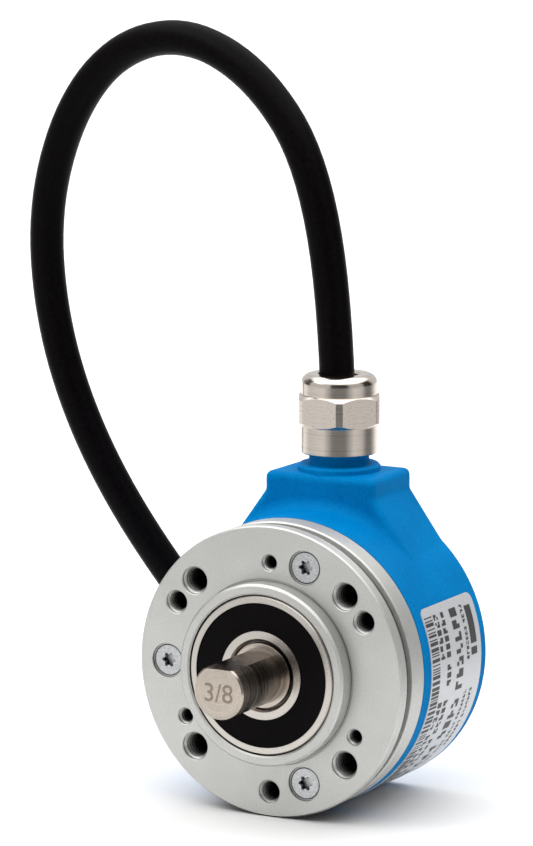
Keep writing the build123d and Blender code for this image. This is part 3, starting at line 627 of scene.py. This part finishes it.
# The record's slots name the finish; these are the nodes that take each one.
finish_of = {
    "satin_aluminium": ["flange"],
    "blue_paint": ["housing"],
    "label_film": ["label"],
    "zinc_steel": ["body_screws", "board_screws", "hub_screws"],
    "bearing_steel": [
        "front_bearing_outer_ring",
        "front_bearing_inner_ring",
        "rear_bearing_outer_ring",
        "rear_bearing_inner_ring",
    ],
    "ball_steel": ["front_bearing_balls", "rear_bearing_balls"],
    "black_rubber": ["front_bearing_seals", "rear_bearing_seals", "housing_seal", "gland_seal"],
    "shaft_steel": ["shaft"],
    "spring_steel": ["wave_washer", "shaft_circlip"],
    "cage_plastic": ["front_bearing_cage", "rear_bearing_cage"],
    "brass": ["board_standoffs", "disc_hub", "disc_clamp"],
    "nickel_brass": ["gland_nut"],
    "disc_glass": ["code_disc", "reticle"],
    "black_plastic": ["light_holder", "gland_clamp"],
    "circuit_board": ["main_board"],
    "chip_black": ["processor_chip", "driver_chips", "sensor_chip"],
    "ceramic_tan": ["capacitors"],
    "white_plastic": ["board_socket", "lead_plug"],
    "core_insulation": ["inner_leads", "core_leads"],
    "cable_jacket": ["cable", "cable_hank"],
    "tie_black": ["cable_tie"],
    "lens_clear": ["light_lens", "light_source"],
}


def give(piece, material):
    """The piece shows this material all over, and its mesh stays as it is."""
    if not piece.material_slots:
        piece.data.materials.append(None)
    for slot in piece.material_slots:
        slot.link = "OBJECT"
        slot.material = material


def finish_nodes(materials):
    """Every CAD node takes its slot's material, and the bare leads take the screws' plate."""
    for slot, names in finish_of.items():
        for name in names:
            give(nodes[name], materials[slot])
    give(nodes["light_leads"], materials["zinc_steel"])


# =====================================================================================
# Pieces that the CAD leaves to this script

def new_piece(name, verts, faces, material, body, smooth=True):
    """A mesh piece that rides on a body and takes its finish from a slot."""
    mesh = bpy.data.meshes.new(name)
    mesh.from_pydata(verts, [], faces)
    mesh.polygons.foreach_set("use_smooth", [smooth] * len(mesh.polygons))
    mesh.materials.append(material)
    mesh.update()
    piece = place_in_scene(bpy.data.objects.new(name, mesh))
    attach(piece, body)
    return piece


# Tapped holes in millimetres: the name, the thread's radius, the circle's radius, the pitch, the
# depth and the angles.
tapped_holes = [
    ("large", 2.413, 20.6375, 0.794, 8.0, (45, 135, 225, 315)),
    ("metric", 2.0, 21.0, 0.7, 7.5, (30, 150, 270)),
    ("small", 1.4225, 19.05, 0.635, 6.5, (90, 210, 330)),
]
# The ridge's height, the half widths of its root and its crest, where it starts and the depth it
# leaves free, all in pitches; then how far its root goes into the hole's wall.
ridge_height = 0.541
ridge_root = 0.48
ridge_crest = 0.1
ridge_starts = 0.55
ridge_spare = 0.9
ridge_overlap = 0.02 * MM
# The steps of a turn, and the steps over which the ridge grows at either end.
steps_a_turn = 40
run_in_steps = 0.4 * steps_a_turn


def thread(name, centre, radius, pitch, depth, material):
    """The helical ridge of an internal thread, from the hole's wall inwards."""
    root = radius + ridge_overlap
    crest = radius - ridge_height * pitch
    section = [
        (root, -ridge_root),
        (crest, -ridge_crest),
        (crest, ridge_crest),
        (root, ridge_root),
    ]
    turns = (depth - ridge_spare * pitch) / pitch
    count = int(turns * steps_a_turn)
    verts, faces = [], []
    for step in range(count + 1):
        angle = 2 * pi * step / steps_a_turn
        middle = ridge_starts * pitch + pitch * step / steps_a_turn
        grown = min(1.0, step / run_in_steps, (count - step) / run_in_steps)
        for reach, along in section:
            here = root - (root - reach) * grown
            verts.append((
                centre.x + here * cos(angle),
                centre.y + middle + along * pitch,
                centre.z + here * sin(angle),
            ))
    corners = len(section)
    for step in range(count):
        for side in range(corners - 1):
            near = corners * step + side
            faces.append((near, near + 1, near + corners + 1, near + corners))
    faces.append(tuple(reversed(range(corners))))
    faces.append(tuple(corners * count + side for side in range(corners)))
    new_piece(name, verts, faces, material, STATOR)


def make_threads(material):
    """A ridge in every tapped hole of the flange."""
    for kind, radius, circle, pitch, depth, angles in tapped_holes:
        for number, angle in enumerate(angles, 1):
            centre = on_shaft_circle(circle * MM, angle, 0)
            name = f"thread_{kind}_{number}"
            thread(name, centre, radius * MM, pitch * MM, depth * MM, material)


# ---- the label's print: a bar code, rows of made-up marks and two bold blocks ----

print_rise = 0.02 * MM
# In degrees: the longest flat step of a patch, and the bars' widths and gaps.
print_step = 3.0
bar_widths = (0.5, 0.5, 1.0, 1.4)
bar_gaps = (0.45, 0.45, 0.9)
# The share of a mark's squares that are inked; a mark's width and a word's gap in letters.
square_share = 0.8
mark_width = 0.72
word_gap = 0.6

# Each row down the label: the angles in degrees and the depths in millimetres that it lies
# between, the width of a letter in degrees if it has letters, and the seed.
label_bar_code = (22, -69, 11.6, 14.4, 3)
label_rows = [
    (22, 0, 14.9, 16.4, 3.1, 5),
    (-13, -70, 14.9, 16.4, 3.1, 6),
    (22, -8, 17.1, 18.6, 3.1, 7),
    (-13, -70, 17.1, 18.6, 3.1, 8),
    (22, -70, 20.8, 23.3, 4.8, 9),
    (22, -2, 24.7, 25.6, 1.9, 10),
    (-12, -50, 24.7, 25.6, 1.9, 11),
    (-12, -40, 26.8, 27.7, 1.9, 12),
]
label_blocks = [(21, 6, 26.4, 28.6), (4.5, 1.5, 26.4, 28.6)]


class Print:
    """Patches of ink on the label, gathered into one piece."""

    def __init__(self):
        self.verts = []
        self.faces = []

    def patch(self, start, end, front, back):
        """A patch between two angles in degrees and two depths in millimetres."""
        count = max(1, int(abs(end - start) / print_step) + 1)
        first = len(self.verts)
        for step in range(count + 1):
            angle = start + (end - start) * step / count
            for depth in (front, back):
                self.verts.append(on_shaft_circle(label_radius + print_rise, angle, depth * MM))
        for step in range(count):
            near = first + 2 * step
            self.faces.append((near, near + 2, near + 3, near + 1))

    def mark(self, start, end, front, back, chance):
        """A made-up mark, not a letter: some of six small squares, two across and three down."""
        across = (start - end) / 2
        down = (back - front) / 3
        for column in (0, 1):
            for row in (0, 1, 2):
                if chance.random() < square_share:
                    side = start - column * across
                    top = front + row * down
                    self.patch(side, side - across, top, top + down)

    def words(self, start, end, front, back, letter, seed):
        """A row of made-up marks, in groups as words are, read downwards."""
        chance = random.Random(seed)
        angle = start
        while angle - letter > end:
            for _ in range(chance.randint(4, 7)):
                if angle - letter < end:
                    break
                self.mark(angle, angle - mark_width * letter, front, back, chance)
                angle -= letter
            angle -= letter * word_gap

    def bar_code(self, start, end, front, back, seed):
        """Bars of three widths, one after another down the label."""
        chance = random.Random(seed)
        angle = start
        while angle > end:
            width = chance.choice(bar_widths)
            self.patch(angle, angle - width, front, back)
            angle -= width + chance.choice(bar_gaps)


def make_label_print():
    """All the label's print, in one piece."""
    ink = Print()
    ink.bar_code(*label_bar_code)
    for row in label_rows:
        ink.words(*row)
    for block in label_blocks:
        ink.patch(*block)
    verts, faces = ink.verts, ink.faces
    new_piece("label_print", verts, faces, label_ink(), STATOR, smooth=False)


# ---- the size mark on the shaft's end ----

# The numerals' size, half their thickness, how much bolder they are than the font, how far they
# stand off the shaft's end, and how far up they sit.
size_mark_height = 4.5 * MM
size_mark_half_depth = 0.004 * MM
size_mark_bolder = 0.02 * MM
size_mark_rise = 0.005 * MM
size_mark_up = -0.3 * MM


def make_size_mark():
    """The shaft's size, etched into its end as generic numerals."""
    text = bpy.data.curves.new("size_mark", "FONT")
    text.body = "3/8"
    text.size = size_mark_height
    text.align_x = "CENTER"
    text.align_y = "CENTER"
    text.extrude = size_mark_half_depth
    text.offset = size_mark_bolder
    holder = place_in_scene(bpy.data.objects.new("size_mark_text", text))
    bpy.context.view_layer.update()
    mesh = bpy.data.meshes.new_from_object(holder)
    bpy.data.objects.remove(holder)
    mesh.transform(Matrix.Rotation(radians(90), 4, "X"))
    mesh.transform(Matrix.Translation((0, shaft_tip - size_mark_rise, size_mark_up)))
    material, tree, shader = principled("etched_mark", (0.22, 0.19, 0.16), {"Metallic": 0.6})
    etch = noise(tree, object_place(tree), 6.0, 2.0)
    colour = between(tree, spread(tree, etch, 0, 1), (0.22, 0.175, 0.135), (0.36, 0.295, 0.235))
    paint(tree, shader, colour, spread(tree, etch, 0.5, 0.7))
    mesh.materials.clear()
    mesh.materials.append(material)
    mark = place_in_scene(bpy.data.objects.new("size_mark", mesh))
    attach(mark, ROTOR)


# ---- the cable, its hank, tie and bare end ----

cable_radius = 3.1 * MM
cable_floor = floor_height + cable_radius
hank_height = cable_floor + 0.3 * MM


def lay(across, along, height):
    """A point across and along the camera's level line of sight, at a height."""
    return (
        cos(view_azimuth) * across - sin(view_azimuth) * along,
        sin(view_azimuth) * across + cos(view_azimuth) * along,
        height,
    )


# From inside the neck, up through the gland, over the arch and down behind to the surface.
cable_route = [
    (0, 0.0254, 0.027),
    (0, 0.0254, 0.054),
    (-0.0055, 0.0265, 0.084),
    (-0.0175, 0.0285, 0.099),
    (-0.033, 0.0305, 0.106),
    (-0.0485, 0.0325, 0.1025),
    (-0.060, 0.0345, 0.0905),
    (-0.0665, 0.036, 0.072),
    (-0.066, 0.0375, 0.052),
    (-0.0605, 0.039, 0.033),
    (-0.0505, 0.0415, 0.014),
    lay(-0.009, 0.0585, -0.007),
    lay(0.005, 0.062, -0.0185),
    lay(0.019, 0.071, cable_floor),
    lay(0.0285, 0.085, cable_floor),
]

# The hank's folds along, its runs across, and where its cores start.
hank_near = 0.096
hank_far = 0.136
run_outer = 0.030
run_return = -0.0134
run_inner = 0.0236
leads_start = 0.117
fold_points = 8


def fold(first_run, second_run, along, sign):
    """The points of a half turn between two runs, on the far side (+1) or the near side (-1)."""
    middle = (first_run + second_run) / 2
    half_step = pi / fold_points / 2
    reach = (first_run - second_run) / 2 / cos(half_step)
    points = []
    for number in range(fold_points):
        angle = (2 * number + 1) * half_step
        across = middle + reach * cos(angle)
        points.append(lay(across, along + sign * abs(reach) * sin(angle), hank_height))
    return points


def run(across, stops):
    """The points of a straight run of the hank."""
    return [lay(across, along, hank_height) for along in stops]


def hank_route():
    """The put-away length: a flat loop of one and a half turns, on the surface."""
    return [
        *run(run_outer, (0.100, 0.112, 0.124)),
        *fold(run_outer, run_return, hank_far, 1),
        *run(run_return, (0.125, 0.116, 0.107)),
        *fold(run_return, run_inner, hank_near, -1),
        *run(run_inner, (0.103, 0.110, leads_start)),
    ]


# A line's steps from one control point to the next, and its steps round a quarter of its section.
line_steps = 8
line_sides = 7


def smooth_line(name, points, radius, material):
    """A round cord along a NURBS line that has these control points."""
    curve = bpy.data.curves.new(name, "CURVE")
    curve.dimensions = "3D"
    curve.resolution_u = line_steps
    curve.bevel_depth = radius
    curve.bevel_resolution = line_sides
    curve.use_fill_caps = True
    spline = curve.splines.new("NURBS")
    spline.points.add(len(points) - 1)
    for point, place in zip(spline.points, points):
        point.co = (*place, 1)
    spline.order_u = 3
    spline.use_endpoint_u = True
    spline.use_smooth = True
    curve.materials.append(material)
    return place_in_scene(bpy.data.objects.new(name, curve))


core_colours = [
    ("white", (0.72, 0.71, 0.68)),
    ("brown", (0.16, 0.07, 0.03)),
    ("green", (0.03, 0.25, 0.08)),
    ("yellow", (0.72, 0.55, 0.05)),
    ("grey", (0.25, 0.25, 0.26)),
    ("pink", (0.72, 0.3, 0.34)),
    ("blue", (0.04, 0.12, 0.45)),
    ("red", (0.5, 0.03, 0.03)),
]
core_radius = 0.42 * MM
core_end_radius = 0.24 * MM
core_spacing = 0.55 * MM
core_lift = 0.7 * MM
core_rest = floor_height + 0.45 * MM
core_shade = 0.75
fan_across = run_inner - 12 * MM
fan_spacing = 2.2 * MM


def make_cores():
    """Eight cores with coloured insulation, fanned out on the surface, and their bare ends."""
    cores = []
    copper = metal("tinned_copper", (0.5, 0.46, 0.42), (0.7, 0.66, 0.6), (0.28, 0.42), 5.0)
    for number, (colour, tint) in enumerate(core_colours):
        place = number - (len(core_colours) - 1) / 2
        side = 1 if number % 2 else -1
        near = run_inner + core_spacing * place
        far = fan_across + fan_spacing * place
        height = hank_height + core_lift * side
        route = [
            lay(near, leads_start - 1.0 * MM, height),
            lay(near, leads_start + 3.0 * MM, height),
            lay(near * 0.7 + far * 0.3, leads_start + 8.0 * MM, core_rest + 1.2 * MM),
            lay(near * 0.4 + far * 0.6, leads_start + 14.0 * MM, core_rest),
            lay(far + 0.4 * MM * side, leads_start + 20.0 * MM, core_rest),
        ]
        dark = tuple(core_shade * part for part in tint)
        insulation = plastic(f"insulation_{colour}", dark, tint, (0.28, 0.4), 3.0, 0.006, 0)
        core = smooth_line(f"core_{colour}", route, core_radius, insulation)
        end_start = Vector(route[-1])
        end_tip = Vector(lay(far + 0.5 * MM * side, leads_start + 25.0 * MM, core_rest))
        end_middle = (end_start + end_tip) / 2 + Vector((0, 0, 0.1 * MM))
        end_route = [end_start, end_middle, end_tip]
        end = smooth_line(f"core_end_{colour}", end_route, core_end_radius, copper)
        for piece in (core, end):
            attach(piece, STATOR)
        cores += [core, end]
    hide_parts("core_leads")
    return cores


tie_thickness = 0.6 * MM
tie_room = 0.1 * MM
tie_front = 0.1015
tie_back = 0.1105
tie_corner = 0.9 * cable_radius
tie_corner_steps = 6


def tie_ring(reach, centre_across, centre_height):
    """A rounded rectangle round the two runs, at this reach from its corners' centres."""
    middle = (run_outer + run_inner) / 2
    middle_height = floor_height + cable_radius + tie_thickness / 2
    ring = []
    for quarter, (aside, above) in enumerate(((1, 1), (-1, 1), (-1, -1), (1, -1))):
        for step in range(tie_corner_steps + 1):
            angle = radians(90 * (quarter + step / tie_corner_steps))
            ring.append((
                middle + aside * centre_across + reach * cos(angle),
                middle_height + above * centre_height + reach * sin(angle),
            ))
    return ring


def make_tie(material):
    """A hook-and-loop strap round the two runs that lie side by side."""
    half_across = (run_outer - run_inner) / 2 + cable_radius + tie_room
    half_height = (2 * cable_radius + tie_thickness) / 2
    centre_across = half_across - tie_corner
    centre_height = half_height - tie_thickness - tie_corner
    outline = tie_ring(tie_corner + tie_thickness, centre_across, centre_height)
    inner = tie_ring(tie_corner, centre_across, centre_height)
    count = len(outline)
    verts = [
        lay(across, along, height)
        for along in (tie_front, tie_back)
        for ring in (outline, inner)
        for across, height in ring
    ]
    faces = []
    for here in range(count):
        after = (here + 1) % count
        faces.append((here, after, 2 * count + after, 2 * count + here))
        faces.append((count + here, 3 * count + here, 3 * count + after, count + after))
        faces.append((here, count + here, count + after, after))
        faces.append((2 * count + here, 2 * count + after, 3 * count + after, 3 * count + here))
    strap = new_piece("strap", verts, faces, material, STATOR, smooth=False)
    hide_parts("cable_tie")
    return strap


def make_cable(materials):
    """The cable as one cord, with its strap and its cores."""
    route = cable_route + hank_route()
    cable = smooth_line("cable_line", route, cable_radius, materials["cable_jacket"])
    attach(cable, STATOR)
    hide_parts("cable", "cable_hank")
    pieces = [make_tie(materials["tie_black"]), *make_cores()]


make_camera()
make_world()
make_floor()
make_lamp("key", azimuth=-50, elevation=50, distance=0.9, size=0.5, power=1.2)

materials = make_materials()
finish_nodes(materials)
make_threads(materials["satin_aluminium"])
make_label_print()
make_size_mark()
make_cable(materials)

bpy.context.scene.view_settings.view_transform = "Standard"
